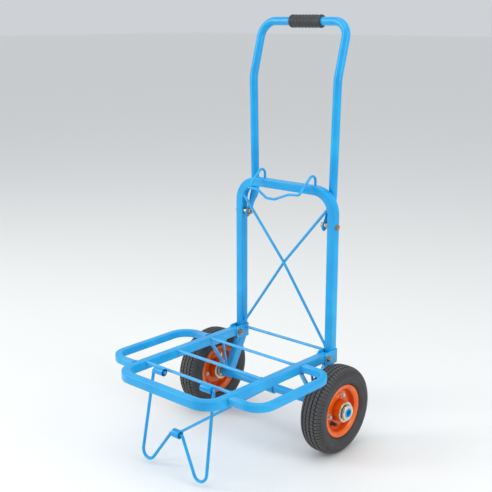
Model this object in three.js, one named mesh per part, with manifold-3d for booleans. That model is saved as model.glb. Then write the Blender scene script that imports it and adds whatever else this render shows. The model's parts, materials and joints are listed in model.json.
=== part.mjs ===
// Folding platform cart, millimetres, +Z up, platform towards -Y, wheels on an axle along X.
// Plane y = 0 of the working frame is the plane of the upright frame; CENTRE_Y moves the
// finished cart so that the origin is below the middle of its bounding box, on the floor.
import * as THREE from 'three';
import { mergeVertices } from 'three/addons/utils/BufferGeometryUtils.js';
import Module from 'manifold-3d';

const wasm = await Module();
wasm.setup();

// ---- driving dimensions ----
const CENTRE_Y = 166.75;
const GAP = 0.3;                 // clearance left where one piece is welded or bolted to another
const TUBE = 20;                 // square tube of the upright and the platform
const WALL = 1.5;
const WING_TUBE = 16;
const HANDLE_R = 9.5;            // round handle tube
const ROD_R = 3.4;               // cross rods
const WIRE_R = 3.5;              // front leg wire

const HALF_WIDTH = 135;          // half the spacing of the upright tubes
const CROSSBAR_Z = 574;
const UPRIGHT_CORNER_R = 50;
const KNEE_Z = 190;              // where the upright bends forward to the axle
const PIN = [-23, 200];          // y, z of the platform hinge
const AXLE = [-48.8, 100];       // y, z of the axle
const AXLE_R = 10;
const AXLE_HALF = 226;

const PLATFORM_Z = 201;
const PLATFORM_FRONT_Y = -397.5;
const PLATFORM_CORNER_R = 40;
const ROD_Z = 207.5;
const ROD_YS = { front: -322.6, middle: -226, rear: -118 };
const WING_X = 221.5;
const WING_Z = 203;
const WING_FRONT_Y = -343;
const WING_REAR_Y = -111;

const SLEEVE = [-335, 205.3];    // y, z of the leg sleeves
const SLEEVE_XS = [57, 85.5];
const SLEEVE_R = 8.4;
const FOOT_Y = -370;
const PEAK = [-355.3, 88.5];     // y, z of the middle of the leg, where the link holds it
const LINK_SLEEVE_R = 9.5;

const HANDLE_PIVOT_Z = 499;
const HANDLE_Y = 24.8;
const HANDLE_KNEE_Z = 549;
const HANDLE_BEND_Z = 815;
const HANDLE_TOP = [59.4, 937];  // y, z of the grip's axis
const HANDLE_CORNER_R = 36;
const GRIP = [-37, 50];          // x of the grip's ends
const GRIP_R = 14.6;

const WHEEL_X = 188;
const WHEEL_R = 100;
const TYRE_HALF = 29;
const RIM_BOLT_R = 34.5;
const RIM_BOLT_ANGLES = [68, 188, 308];

// ---- shapes ----
// A bent centreline: straight runs joined by fillets, with stations only where it bends.
class BentLine extends THREE.Curve {
  constructor(points, radii, segments) {
    super();
    const v = points.map((p) => new THREE.Vector3(...p));
    this.stations = [v[0]];
    this.tangents = [v[1].clone().sub(v[0]).normalize()];
    for (let i = 1; i < v.length - 1; i++) {
      const a = v[i].clone().sub(v[i - 1]).normalize();
      const b = v[i + 1].clone().sub(v[i]).normalize();
      const turn = a.angleTo(b);
      const run = radii[i - 1] * Math.tan(turn / 2);
      const start = v[i].clone().addScaledVector(a, -run);
      const inward = b.clone().addScaledVector(a, -b.dot(a)).normalize();
      const n = Math.max(2, Math.round(segments * turn / (Math.PI / 2)));
      for (let k = 0; k <= n; k++) {
        const t = turn * k / n;
        this.stations.push(start.clone()
          .addScaledVector(a, radii[i - 1] * Math.sin(t))
          .addScaledVector(inward, radii[i - 1] * (1 - Math.cos(t))));
        this.tangents.push(a.clone().multiplyScalar(Math.cos(t))
          .addScaledVector(inward, Math.sin(t)));
      }
    }
    this.stations.push(v[v.length - 1]);
    this.tangents.push(v[v.length - 1].clone().sub(v[v.length - 2]).normalize());
  }
  at(list, t) { return list[Math.round(t * (list.length - 1))].clone(); }
  getPoint(t) { return this.at(this.stations, t); }
  getPointAt(t) { return this.at(this.stations, t); }
  getTangent(t) { return this.at(this.tangents, t); }
  getTangentAt(t) { return this.at(this.tangents, t); }
  getSpacedPoints() { return this.stations.map((p) => p.clone()); }
}

function roundedSquare(side, radius, steps) {
  const points = [];
  if (!steps) return [[1, 1], [-1, 1], [-1, -1], [1, -1]]
    .map(([x, y]) => new THREE.Vector2(x * side / 2, y * side / 2));
  const h = side / 2 - radius;
  for (let c = 0; c < 4; c++) {
    const [cx, cy] = [[h, h], [-h, h], [-h, -h], [h, -h]][c];
    for (let k = 0; k <= steps; k++) {
      const t = (c + k / steps) * Math.PI / 2;
      points.push(new THREE.Vector2(cx + radius * Math.cos(t), cy + radius * Math.sin(t)));
    }
  }
  return points;
}

function circlePoints(radius, sides) {
  return Array.from({ length: sides }, (_, k) => new THREE.Vector2(
    radius * Math.cos(k / sides * 2 * Math.PI), radius * Math.sin(k / sides * 2 * Math.PI)));
}

function sweep(outline, hole, points, radii, segments = 6) {
  const line = new BentLine(points, radii, segments);
  const shape = new THREE.Shape(outline);
  if (hole) shape.holes.push(new THREE.Path(hole));
  return new THREE.ExtrudeGeometry(shape, {
    steps: line.stations.length - 1, bevelEnabled: false, extrudePath: line });
}

const squareTube = (side, points, radii, segments) => sweep(
  roundedSquare(side, 2.4, 2), roundedSquare(side - 2 * WALL, 0, 0), points, radii, segments);
const roundTube = (radius, points, radii, segments) => sweep(
  circlePoints(radius, 18), circlePoints(radius - WALL, 8), points, radii, segments);
const rod = (radius, points, radii = [], segments = 5, sides = 12) => sweep(
  circlePoints(radius, sides), null, points, radii, segments);

function volumeOf(geometry) {
  const p = geometry.attributes.position;
  const i = geometry.index.array;
  const [a, b, c] = [new THREE.Vector3(), new THREE.Vector3(), new THREE.Vector3()];
  let sum = 0;
  for (let k = 0; k < i.length; k += 3) {
    a.fromBufferAttribute(p, i[k]);
    b.fromBufferAttribute(p, i[k + 1]);
    c.fromBufferAttribute(p, i[k + 2]);
    sum += a.dot(b.cross(c)) / 6;
  }
  return sum;
}

// Welded vertices, faces out.
function clean(geometry) {
  geometry.deleteAttribute('normal');
  geometry.deleteAttribute('uv');
  const g = mergeVertices(geometry, 1e-4);
  const i = g.index.array;
  const kept = [];
  for (let k = 0; k < i.length; k += 3) {
    if (i[k] !== i[k + 1] && i[k + 1] !== i[k + 2] && i[k] !== i[k + 2]) {
      kept.push(i[k], i[k + 1], i[k + 2]);
    }
  }
  g.setIndex(kept);
  if (volumeOf(g) < 0) {
    for (let k = 0; k < kept.length; k += 3) [kept[k], kept[k + 1]] = [kept[k + 1], kept[k]];
    g.setIndex(kept);
  }
  return g;
}

// A closed profile of [along, radius] points turned about the X axis.
function turned(profile, sides, x = 0, y = 0, z = 0) {
  const loop = [...profile, profile[0]].map(([a, r]) => new THREE.Vector2(r, a));
  const g = new THREE.LatheGeometry(loop, sides);
  g.rotateZ(-Math.PI / 2);
  g.translate(x, y, z);
  return g;
}

const sleeve = (from, to, inner, outer, sides, y, z) => turned(
  [[from, inner], [to, inner], [to, outer], [from, outer]], sides, 0, y, z);

function barX(from, to, radius, sides, y, z) {
  const g = new THREE.CylinderGeometry(radius, radius, Math.abs(to - from), sides);
  g.rotateZ(Math.PI / 2);
  g.translate((from + to) / 2, y, z);
  return g;
}

function box(x, y, z) {
  const g = new THREE.BoxGeometry(x[1] - x[0], y[1] - y[0], z[1] - z[0]);
  g.translate((x[0] + x[1]) / 2, (y[0] + y[1]) / 2, (z[0] + z[1]) / 2);
  return g;
}

function solid(geometry) {
  const g = clean(geometry);
  return new wasm.Manifold(new wasm.Mesh({
    numProp: 3,
    vertProperties: new Float32Array(g.attributes.position.array),
    triVerts: new Uint32Array(g.index.array) }));
}

function surface(manifold) {
  const m = manifold.getMesh();
  const g = new THREE.BufferGeometry();
  g.setAttribute('position', new THREE.BufferAttribute(new Float32Array(m.vertProperties), 3));
  g.setIndex(Array.from(m.triVerts));
  return g;
}

const join = (...list) => list.map((g) => (g.isBufferGeometry ? solid(g) : g))
  .reduce((a, b) => a.add(b));
const cut = (from, ...list) => list.map((g) => (g.isBufferGeometry ? solid(g) : g))
  .reduce((a, b) => a.subtract(b), from.isBufferGeometry ? solid(from) : from);

// ---- finishes ----
const FINISH = {
  blue: { color: 0x2a9fe0, roughness: 0.32, metalness: 0.0 },
  orange: { color: 0xe2642a, roughness: 0.35, metalness: 0.0 },
  tyre: { color: 0x3c3c3e, roughness: 0.85, metalness: 0.0 },
  rubber: { color: 0x39393b, roughness: 0.75, metalness: 0.0 },
  zinc: { color: 0xc9c7bd, roughness: 0.35, metalness: 1.0 },
};

const cart = new THREE.Group();
cart.name = 'folding_platform_cart';
cart.position.y = CENTRE_Y;

function place(name, shape, finish) {
  const geometry = clean(shape.isBufferGeometry ? shape : surface(shape));
  geometry.computeVertexNormals();
  const mesh = new THREE.Mesh(geometry, new THREE.MeshStandardMaterial(FINISH[finish]));
  mesh.name = name;
  cart.add(mesh);
}

// ---- upright frame: one tube, up from the axle, over the crossbar and down again ----
const kneeSlope = (KNEE_Z - AXLE[1]) / -AXLE[0];
const footZ = AXLE[1] - 4;
const footY = -(KNEE_Z - footZ) / kneeSlope;
const uprightLine = [
  [-HALF_WIDTH, footY, footZ], [-HALF_WIDTH, 0, KNEE_Z], [-HALF_WIDTH, 0, CROSSBAR_Z],
  [HALF_WIDTH, 0, CROSSBAR_Z], [HALF_WIDTH, 0, KNEE_Z], [HALF_WIDTH, footY, footZ]];
const uprightBends = [28, UPRIGHT_CORNER_R, UPRIGHT_CORNER_R, 28];
const uprightTube = squareTube(TUBE, uprightLine, uprightBends, 8);
// The same tube without its bore and a little larger, to trim what is welded to it.
const uprightRoom = solid(sweep(
  roundedSquare(TUBE + 2 * GAP, 2.4, 2), null, uprightLine, uprightBends, 8));
const SADDLE_R = 13;
const handleBoltHole = 4.2;
place('upright_frame', cut(uprightTube,
  barX(-160, 160, SADDLE_R + GAP, 24, ...AXLE),
  box([-160, 160], [-90, -20], [60, AXLE[1] + 2]),
  barX(-160, -110, handleBoltHole, 12, 0, HANDLE_PIVOT_Z),
  barX(110, 160, handleBoltHole, 12, 0, HANDLE_PIVOT_Z)), 'blue');

// Two rods bent slightly where they cross, welded together there.
const BRACE_R = 3.3;
const BRACE_TOP = 541;
const BRACE_MIDDLE = 396;
const inner = HALF_WIDTH - TUBE / 2 - GAP;
const braceRod = (side, y) => rod(BRACE_R, [
  [-side * (inner + 3), y, BRACE_TOP + 3], [0, y, BRACE_MIDDLE], [side * (inner + 3), y, 219]],
[60], 8, 10);
place('cross_brace', cut(join(braceRod(1, -5.9), braceRod(-1, -2.4)), uprightRoom), 'blue');
place('lower_cross_rod', rod(ROD_R, [[-121.3 + GAP, 2, 207], [121.3 - GAP, 2, 207]]), 'blue');

// Wire catch: both ends stand behind the crossbar, the wire loops over it and hangs in front.
const CATCH_R = 3;
const CATCH_X = 74;
const behind = TUBE / 2 + CATCH_R + GAP;
place('wire_catch', rod(CATCH_R, [
  [-CATCH_X, behind, 566], [-CATCH_X, behind, 618.5], [-CATCH_X, -45, 567.5],
  [-46, -45, 566], [-20, -45, 549.5], [4, -45, 549.5], [44, -45, 565.5],
  [CATCH_X, -45, 567.5], [CATCH_X, behind, 618.5], [CATCH_X, behind, 566],
], [12, 5, 16, 14, 14, 24, 5, 12], 5, 8), 'blue');

// ---- platform hinges: a U-shaped bracket on each upright, open at the front ----
const BRACKET_WALL = 3;
const half = TUBE / 2 + GAP;
for (const [side, name] of [[-1, 'left'], [1, 'right']]) {
  const centre = side * HALF_WIDTH;
  const block = box([centre - half - BRACKET_WALL, centre + half + BRACKET_WALL],
    [-34, half + BRACKET_WALL], [183, 215]);
  const rounded = solid(block).intersect(join(
    barX(centre - 20, centre + 20, 16, 32, -18, 199),
    box([centre - 20, centre + 20], [-18, 3], [183, 215]),
    barX(centre - 20, centre + 20, 16, 32, -2.6, 199)));
  place(`hinge_bracket_${name}`, cut(rounded,
    box([centre - half, centre + half], [-60, half], [170, 230]),
    barX(centre - 20, centre + 20, 4.15, 16, ...PIN)), 'blue');

  // Bolt with its head outboard, nut inboard.
  const out = half + BRACKET_WALL + GAP;
  place(`hinge_bolt_${name}`, join(
    barX(centre - side * (out + 9), centre + side * (out + 1), 3.9, 16, ...PIN),
    barX(centre + side * out, centre + side * (out + 4.6), 6.6, 6, ...PIN),
    barX(centre + side * (out + 4), centre + side * (out + 5.4), 4.6, 12, ...PIN)), 'zinc');
  const nutFrom = centre - side * out;
  const nutTo = centre - side * (out + 5.4);
  place(`hinge_nut_${name}`, cut(barX(nutFrom, nutTo, 6.6, 6, ...PIN),
    barX(nutFrom + side, nutTo - side, 4.0, 16, ...PIN)), 'zinc');

  // Collar welded round the axle tube, under the foot of the upright.
  place(`axle_collar_${name}`, turned([
    [side * 122, AXLE_R + GAP], [side * 147, AXLE_R + GAP],
    [side * 147, SADDLE_R], [side * 122, SADDLE_R]], 20, 0, ...AXLE), 'blue');

  // Rest under the platform: a flat bar and a thin rod meeting on the axle collar.
  const bar = sweep([[-2, -6], [2, -6], [2, 6], [-2, 6]].map((p) => new THREE.Vector2(...p)),
    null, [[centre, -108.2, 194], [centre, -54, 106]], []);
  const prop = rod(3, [[centre, -70, 194], [centre, -53, 104]]);
  const pad = box([centre - 7, centre + 7], [-114, -63], [186.2, 190.2]);
  place(`platform_rest_${name}`, cut(join(bar, prop, pad), uprightRoom,
    box([centre - 20, centre + 20], [-140, -30], [190.2, 210]),
    barX(centre - 20, centre + 20, SADDLE_R + GAP, 24, ...AXLE)), 'blue');
}

place('axle_tube', sleeve(-AXLE_HALF, AXLE_HALF, AXLE_R - 2.2, AXLE_R, 24, ...AXLE), 'blue');

// ---- platform ----
const rearEndY = PIN[0] + 11.8;
const platformTube = squareTube(TUBE, [
  [-HALF_WIDTH, rearEndY, PLATFORM_Z], [-HALF_WIDTH, PLATFORM_FRONT_Y, PLATFORM_Z],
  [HALF_WIDTH, PLATFORM_FRONT_Y, PLATFORM_Z], [HALF_WIDTH, rearEndY, PLATFORM_Z],
], [PLATFORM_CORNER_R, PLATFORM_CORNER_R], 8);
const endKeep = join(box([-160, 160], [-420, PIN[0]], [180, 225]),
  barX(-160, 160, 11.8, 32, ...PIN));
place('platform_frame', cut(solid(platformTube).intersect(endKeep),
  barX(-160, -110, 4.15, 16, ...PIN), barX(110, 160, 4.15, 16, ...PIN)), 'blue');
for (const [name, y] of Object.entries(ROD_YS)) {
  place(`cross_rod_${name}`, rod(ROD_R, [[-inner, y, ROD_Z], [inner, y, ROD_Z]]), 'blue');
}
for (const [side, name] of [[-1, 'left'], [1, 'right']]) {
  const root = side * (HALF_WIDTH + TUBE / 2 + GAP);
  place(`side_wing_${name}`, squareTube(WING_TUBE, [
    [root, WING_REAR_Y, WING_Z], [side * WING_X, WING_REAR_Y, WING_Z],
    [side * WING_X, WING_FRONT_Y, WING_Z], [root, WING_FRONT_Y, WING_Z]], [42, 38], 8), 'blue');
  place(`leg_sleeve_${name}`, sleeve(side * SLEEVE_XS[0], side * SLEEVE_XS[1],
    WIRE_R + 0.5, SLEEVE_R, 20, ...SLEEVE), 'blue');
}

// ---- front leg: one wire, in through both sleeves, down to two feet and up to a peak ----
const lean = (FOOT_Y - SLEEVE[0]) / (SLEEVE[1] - WIRE_R);
const onLeg = (x, z) => [x, SLEEVE[0] + (SLEEVE[1] - z) * lean, z];
place('front_leg', rod(WIRE_R, [
  [-SLEEVE_XS[0] - 3, ...SLEEVE], [-90, ...SLEEVE], onLeg(-99.2, -36.3),
  onLeg(-15.6, PEAK[1]), onLeg(15.6, PEAK[1]),
  onLeg(99.2, -36.3), [90, ...SLEEVE], [SLEEVE_XS[0] + 3, ...SLEEVE],
], [4.2, 19, 7, 7, 19, 4.2], 5, 10), 'blue');

// ---- link from the axle to the peak of the leg ----
const linkLength = Math.hypot(PEAK[0] - AXLE[0], PEAK[1] - AXLE[1]);
const onLink = (t) => [0, AXLE[0] + (PEAK[0] - AXLE[0]) * t, AXLE[1] + (PEAK[1] - AXLE[1]) * t];
place('leg_link', cut(join(
  barX(-14, 14, 14, 24, ...AXLE),
  barX(-10, 10, LINK_SLEEVE_R, 20, ...PEAK),
  rod(3.2, [onLink(11 / linkLength), onLink(1 - 8 / linkLength)])),
barX(-20, 20, AXLE_R + 0.4, 24, ...AXLE),
barX(-20, 20, WIRE_R + 3.2, 20, ...PEAK)), 'blue');

// ---- handle: round tube, legs pinched flat at the foot for the pivot bolts ----
const handleX = (z) => Math.min(120, 115 + (z - 606) * 0.0215);
const EAR = [110.5, 115.5];          // the flattened ear, x from the middle
const kneeLean = HANDLE_Y / (HANDLE_KNEE_Z - HANDLE_PIVOT_Z);
const pinchZ = 536;
const pinchY = (pinchZ - HANDLE_PIVOT_Z) * kneeLean;
const legStart = (side) => [side * 113, pinchY, pinchZ];
const handlePoints = (side) => [legStart(side),
  [side * handleX(HANDLE_KNEE_Z), HANDLE_Y, HANDLE_KNEE_Z],
  [side * 120, HANDLE_Y, HANDLE_BEND_Z],
  [side * 120, ...HANDLE_TOP]];
const handleTube = solid(roundTube(HANDLE_R, [...handlePoints(-1), ...handlePoints(1).reverse()],
  [36, 80, HANDLE_CORNER_R, HANDLE_CORNER_R, 80, 36], 7));
function ear(side) {
  const [x0, x1] = [side * EAR[0], side * EAR[1]];
  const eye = solid(barX(x0, x1, 12, 16, 0, HANDLE_PIVOT_Z));
  const across = new THREE.BoxGeometry(EAR[1] - EAR[0], 18, 2);
  across.rotateX(-Math.atan(kneeLean));
  across.translate((x0 + x1) / 2, 18 * kneeLean, HANDLE_PIVOT_Z + 18);
  const top = solid(across);
  const plate = wasm.Manifold.hull([eye, top]);
  const start = new THREE.Vector3(...legStart(side));
  const end = new THREE.CylinderGeometry(HANDLE_R, HANDLE_R, 1.2, 14);
  const direction = new THREE.Vector3(side * (handleX(HANDLE_KNEE_Z) - 113),
    HANDLE_Y - pinchY, HANDLE_KNEE_Z - pinchZ).normalize();
  end.applyQuaternion(new THREE.Quaternion().setFromUnitVectors(
    new THREE.Vector3(0, 1, 0), direction));
  end.translate(start.x, start.y, start.z);
  return wasm.Manifold.hull([top, solid(end)]).add(plate);
}
place('handle_tube', cut(join(handleTube, ear(-1), ear(1)),
  barX(-130, -100, 4.2, 14, 0, HANDLE_PIVOT_Z), barX(100, 130, 4.2, 14, 0, HANDLE_PIVOT_Z),
  // drain hole behind the left leg, so that the tube is not sealed
  rod(1.5, [[-114, HANDLE_Y, 560], [-114, HANDLE_Y + 20, 560]], [], 5, 8)), 'blue');
place('handle_grip', turned([
  [GRIP[0], HANDLE_R + 0.25], [GRIP[1], HANDLE_R + 0.25],
  [GRIP[1], GRIP_R - 2], [GRIP[1] - 2, GRIP_R],
  [GRIP[0] + 2, GRIP_R], [GRIP[0], GRIP_R - 2]], 24, 0, ...HANDLE_TOP), 'rubber');
for (const [side, name] of [[-1, 'left'], [1, 'right']]) {
  const at = [0, HANDLE_PIVOT_Z];
  const outer = HALF_WIDTH + TUBE / 2 + GAP;
  place(`handle_bolt_${name}`, join(
    barX(side * 101, side * (outer + 1), 3.9, 16, ...at),
    barX(side * outer, side * (outer + 4.6), 6.6, 6, ...at),
    barX(side * (outer + 4), side * (outer + 5.4), 4.6, 12, ...at)), 'zinc');
  const nutX = side * (EAR[0] - GAP);
  place(`handle_nut_${name}`, cut(join(
    barX(nutX, nutX - side * 1.4, 8.4, 20, ...at),
    barX(nutX, nutX - side * 7, 6.6, 6, ...at)),
  barX(nutX + side, nutX - side * 8, 4.0, 16, ...at)), 'zinc');
  // Spacer between the ear and the upright.
  place(`handle_spacer_${name}`, sleeve(side * (EAR[1] + GAP),
    side * (HALF_WIDTH - TUBE / 2 - GAP), 4.2, 7.5, 20, ...at), 'zinc');
}

// ---- wheels ----
// Half sections, [distance outboard of the wheel's middle, radius].
const RIM_HALF = [[0.3, 50], [15.6, 51.5], [18.6, 54.4], [19.6, 60.2], [21.6, 60.2],
  [20.8, 53], [17.6, 48.4], [5, 46.6], [9.6, 37.4], [9.6, 24],
  [7.8, 24], [7.8, 36.4], [0.3, 45.4]];
const TYRE_SECTION = [[0, WHEEL_R], [14, 98.8], [22, 94.8], [27.6, 86.6],
  [TYRE_HALF, 76], [25, 64], [18.6, 61], [16.6, 55], [13, 52.4], [6, 52.2],
  [7, 54.6], [14.6, 63.6], [22.6, 75], [18, 88.4], [0, 93.2]];
// Inner tube, an open channel against the inside of the tyre.
const TUBE_SECTION = [[0, 92.6], [17.4, 87.9], [21.9, 75], [14.2, 64.2],
  [12.6, 65], [20.2, 75.2], [16.2, 86.6], [0, 91]];
const mirrored = (list) => list.map(([a, r]) => [-a, r]);
const fullLoop = (section) => [...section, ...mirrored(section).slice(1, -1).reverse()];
for (const [side, name] of [[-1, 'left'], [1, 'right']]) {
  const x = side * WHEEL_X;
  const wheelAt = [x, ...AXLE];
  place(`tyre_${name}`, turned(fullLoop(TYRE_SECTION), 28, ...wheelAt), 'tyre');
  place(`inner_tube_${name}`, turned(fullLoop(TUBE_SECTION), 20, ...wheelAt), 'rubber');
  const boltAt = (angle) => [AXLE[0] + RIM_BOLT_R * Math.cos(angle * Math.PI / 180),
    AXLE[1] + RIM_BOLT_R * Math.sin(angle * Math.PI / 180)];
  const boltHoles = RIM_BOLT_ANGLES.map((a) => barX(x - 15, x + 15, 3.4, 8, ...boltAt(a)));
  const outboard = RIM_HALF.map(([a, r]) => [side * a, r]);
  const valveAngle = 222;
  const valveAt = [AXLE[0] + 35 * Math.cos(valveAngle * Math.PI / 180),
    AXLE[1] + 35 * Math.sin(valveAngle * Math.PI / 180)];
  const valveHole = barX(x, x + side * 30, 4.4, 12, ...valveAt);
  place(`rim_outer_${name}`, cut(turned(outboard, 24, ...wheelAt), ...boltHoles, valveHole),
    'orange');
  place(`rim_inner_${name}`, cut(turned(mirrored(outboard), 24, ...wheelAt), ...boltHoles),
    'orange');
  place(`hub_${name}`, sleeve(x - 30, x + 30, 17.6, 23.4, 24, ...AXLE), 'zinc');
  for (const [end, where] of [[1, 'outer'], [-1, 'inner']]) {
    const from = x + side * end * 27;
    const to = x + side * end * 15;
    place(`bearing_${where}_${name}`, sleeve(from, to, AXLE_R + GAP, 17.3, 20, ...AXLE), 'zinc');
  }
  for (const [i, angle] of RIM_BOLT_ANGLES.entries()) {
    place(`rim_bolt_${i + 1}_${name}`, join(
      barX(x - side * 16.4, x + side * 10.4, 3, 8, ...boltAt(angle)),
      barX(x + side * 9.9, x + side * 14.4, 6, 6, ...boltAt(angle)),
      barX(x - side * 9.9, x - side * 14.4, 6, 6, ...boltAt(angle))), 'zinc');
  }
  // Valve stem out of the outer rim half; its foot is inside the wheel.
  place(`valve_stem_${name}`, join(
    barX(x + side * 1, x + side * 22, 3, 12, ...valveAt),
    barX(x + side * 10.2, x + side * 12, 5.4, 12, ...valveAt),
    barX(x + side * 15, x + side * 25, 4.1, 12, ...valveAt)), 'rubber');
  // Outboard retaining washer, and an inboard spacer against the hub.
  place(`axle_cap_${name}`, turned([
    [side * 220.4, AXLE_R + GAP], [side * 224.8, AXLE_R + GAP], [side * 224.8, 17.2],
    [side * 224, 18], [side * 220.4, 18]], 24, 0, ...AXLE), 'zinc');
  place(`axle_spacer_${name}`, sleeve(side * 151, side * 157.4, AXLE_R + GAP, 16.5, 20, ...AXLE),
    'zinc');
}

export default cart;
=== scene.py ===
"""Folding platform cart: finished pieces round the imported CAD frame.

Lengths in this script are millimetres in the CAD's working frame (y = 0 is the plane of the
upright, the platform reaches towards -Y, z = 0 is the floor). at() turns them into metres in
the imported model's frame. The floor, the lights and the camera are placed in metres.
"""
import json
import math
import bpy
from mathutils import Matrix, Vector


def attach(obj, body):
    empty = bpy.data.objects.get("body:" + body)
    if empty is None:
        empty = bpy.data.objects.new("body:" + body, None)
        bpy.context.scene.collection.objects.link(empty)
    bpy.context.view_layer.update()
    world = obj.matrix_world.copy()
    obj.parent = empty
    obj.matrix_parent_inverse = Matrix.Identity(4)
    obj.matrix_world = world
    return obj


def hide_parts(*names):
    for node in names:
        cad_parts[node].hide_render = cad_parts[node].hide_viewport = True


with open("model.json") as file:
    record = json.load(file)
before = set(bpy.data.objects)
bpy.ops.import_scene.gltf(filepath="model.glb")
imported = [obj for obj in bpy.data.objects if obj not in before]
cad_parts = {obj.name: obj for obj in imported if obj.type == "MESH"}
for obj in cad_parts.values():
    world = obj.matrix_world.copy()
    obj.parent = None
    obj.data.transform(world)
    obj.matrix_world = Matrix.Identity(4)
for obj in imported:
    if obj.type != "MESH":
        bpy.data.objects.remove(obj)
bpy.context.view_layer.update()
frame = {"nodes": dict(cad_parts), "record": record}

MM = 0.001
CENTRE_Y = 166.75          # the CAD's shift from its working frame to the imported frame
SIDES = ((-1, "left"), (1, "right"))

# ---- sizes of the cart's pieces ----
TUBE = 20.0                # square tube of the upright and the platform
TUBE_CORNER = 2.4          # outside corner radius of that tube
WALL = 1.5
WING_TUBE = 16.0
WING_CORNER = 2.2
HANDLE_R = 9.5
ROD_R = 3.4
WIRE_R = 3.5
BRACE_R = 3.3
CATCH_R = 3.0
HALF_WIDTH = 135.0
UPRIGHT_CORNER_R = 50.0
CROSSBAR_Z = 574.0
KNEE_Z = 190.0             # where the upright bends forward to the axle
FOOT_END_Z = 104.0         # where the upright's foot ends on the axle collar
BRACE_RODS = ((1, -5.9), (-1, -2.4))   # side that the rod's foot stands on, y
BRACE_TOP_Z, BRACE_MIDDLE_Z, BRACE_FOOT_Z = 542.0, 396.0, 220.0
LOWER_ROD = (2.0, 207.0)   # y, z of the rod between the hinge brackets
CATCH_X, CATCH_Y = 74.0, -45.0         # hooks of the wire catch, its front run
CATCH_PEAK_Z, CATCH_END_Z = 618.5, 566.0
BRACKET_Z, BRACKET_HEIGHT, BRACKET_THICK = 199.0, 32.0, 3.0
PIN = (-23.0, 200.0)       # y, z of the platform hinge
AXLE = (-48.8, 100.0)      # y, z of the axle
AXLE_R = 10.0
AXLE_HALF = 226.0
COLLAR_XS = (122.0, 147.0)
PLATFORM_Z = 201.0
PLATFORM_FRONT_Y = -397.5
ROD_Z = 207.5
ROD_YS = {"front": -322.6, "middle": -226.0, "rear": -118.0}
PLATFORM_CORNER_R = 40.0
PLATFORM_END_R = 11.8      # round end of the platform's tubes about the hinge bolts
WING_X, WING_Z, WING_FRONT_Y, WING_REAR_Y = 221.5, 203.0, -343.0, -111.0
WING_CORNERS = (42.0, 38.0)            # bend radii, rear and front
LEG_SLEEVE = (-335.0, 205.3)
SLEEVE_XS = (57.0, 85.5)
SLEEVE_R = 8.4
LEG_X = 90.0               # where the wire leaves the sleeves and turns down
FOOT_Y = -370.0
FOOT_CORNER = (99.2, -36.3)            # x, z where the two runs of a foot would meet
PEAK_CORNER_X = 15.6
PEAK = (-355.3, 88.5)      # y, z of the leg's middle, where the link holds it
HANDLE_PIVOT_Z = 499.0
HANDLE_Y = 24.8
HANDLE_TOP = (59.4, 937.0)
HANDLE_KNEE_Z, HANDLE_BEND_Z, HANDLE_X = 549.0, 815.0, 120.0
HANDLE_CORNER_R, HANDLE_BEND_R = 36.0, 80.0
EAR_X = 113.0              # middle of the flattened ear
GRIP_X = 6.5               # the grip sits a little to the right on the handle
GRIP_HALF = 43.5
GRIP_R = 14.6
WHEEL_X = 188.0
RIM_BOLT_R = 34.5
RIM_BOLT_ANGLES = (68, 188, 308)
VALVE_ANGLE = 222
VALVE_R = 35.0
HUB_ENAMEL_HALF = 25.5      # half length of the hub's enamelled barrel
LUGS = 72                  # shoulder lugs round the tyre


def at(x, y, z):
    return Vector((x, y + CENTRE_Y, z)) * MM


# ---- modelling helpers ----
def clear_selection():
    if bpy.context.object and bpy.context.object.mode != "OBJECT":
        bpy.ops.object.mode_set(mode="OBJECT")
    bpy.ops.object.select_all(action="DESELECT")


def choose(obj):
    clear_selection()
    obj.select_set(True)
    bpy.context.view_layer.objects.active = obj


def start_edit(name):
    """Names the new primitive, puts its place into its mesh and opens it with all selected."""
    obj = bpy.context.object
    obj.name = name
    obj.data.name = name
    bpy.ops.object.transform_apply(location=True, rotation=True, scale=True)
    bpy.ops.object.mode_set(mode="EDIT")
    bpy.ops.mesh.select_mode(type="VERT")
    bpy.ops.mesh.select_all(action="SELECT")
    return obj


def extrude(step):
    bpy.ops.mesh.extrude_region_move(TRANSFORM_OT_translate={"value": step})


def scale_about(centre, factors):
    bpy.ops.transform.resize(value=factors, center_override=centre)


def select_where(obj, kind, test):
    """Selects the vertices, edges or faces whose middle passes the test, and counts them."""
    bpy.ops.mesh.select_all(action="DESELECT")
    bpy.ops.object.mode_set(mode="OBJECT")
    mesh = obj.data
    count = 0
    if kind == "VERT":
        for v in mesh.vertices:
            v.select = test(v.co)
            count += v.select
    elif kind == "EDGE":
        for e in mesh.edges:
            a, b = (mesh.vertices[i].co for i in e.vertices)
            e.select = test(a, b)
            count += e.select
    else:
        for f in mesh.polygons:
            f.select = test(f.center, f.normal)
            count += f.select
    bpy.ops.object.mode_set(mode="EDIT")
    bpy.ops.mesh.select_mode(type=kind)
    return count


def modify(obj, kind, **settings):
    choose(obj)
    bpy.ops.object.modifier_add(type=kind)
    modifier = obj.modifiers[-1]
    for key, value in settings.items():
        setattr(modifier, key, value)
    bpy.ops.object.modifier_apply(modifier=modifier.name)


def cut(obj, tool, operation="DIFFERENCE"):
    modify(obj, "BOOLEAN", object=tool, operation=operation, solver="EXACT")
    bpy.data.objects.remove(tool)


def close_up(obj, angle=38.0):
    """Merges doubles, turns the faces out and shades by angle."""
    choose(obj)
    bpy.ops.object.mode_set(mode="EDIT")
    bpy.ops.mesh.select_all(action="SELECT")
    bpy.ops.mesh.remove_doubles(threshold=2e-6)
    bpy.ops.mesh.normals_make_consistent(inside=False)
    bpy.ops.object.mode_set(mode="OBJECT")
    bpy.ops.object.shade_smooth_by_angle(angle=math.radians(angle))
    return obj


def join(name, pieces):
    choose(pieces[0])
    for piece in pieces[1:]:
        piece.select_set(True)
    if len(pieces) > 1:
        bpy.ops.object.join()
    pieces[0].name = name
    pieces[0].data.name = name
    return pieces[0]


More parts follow.
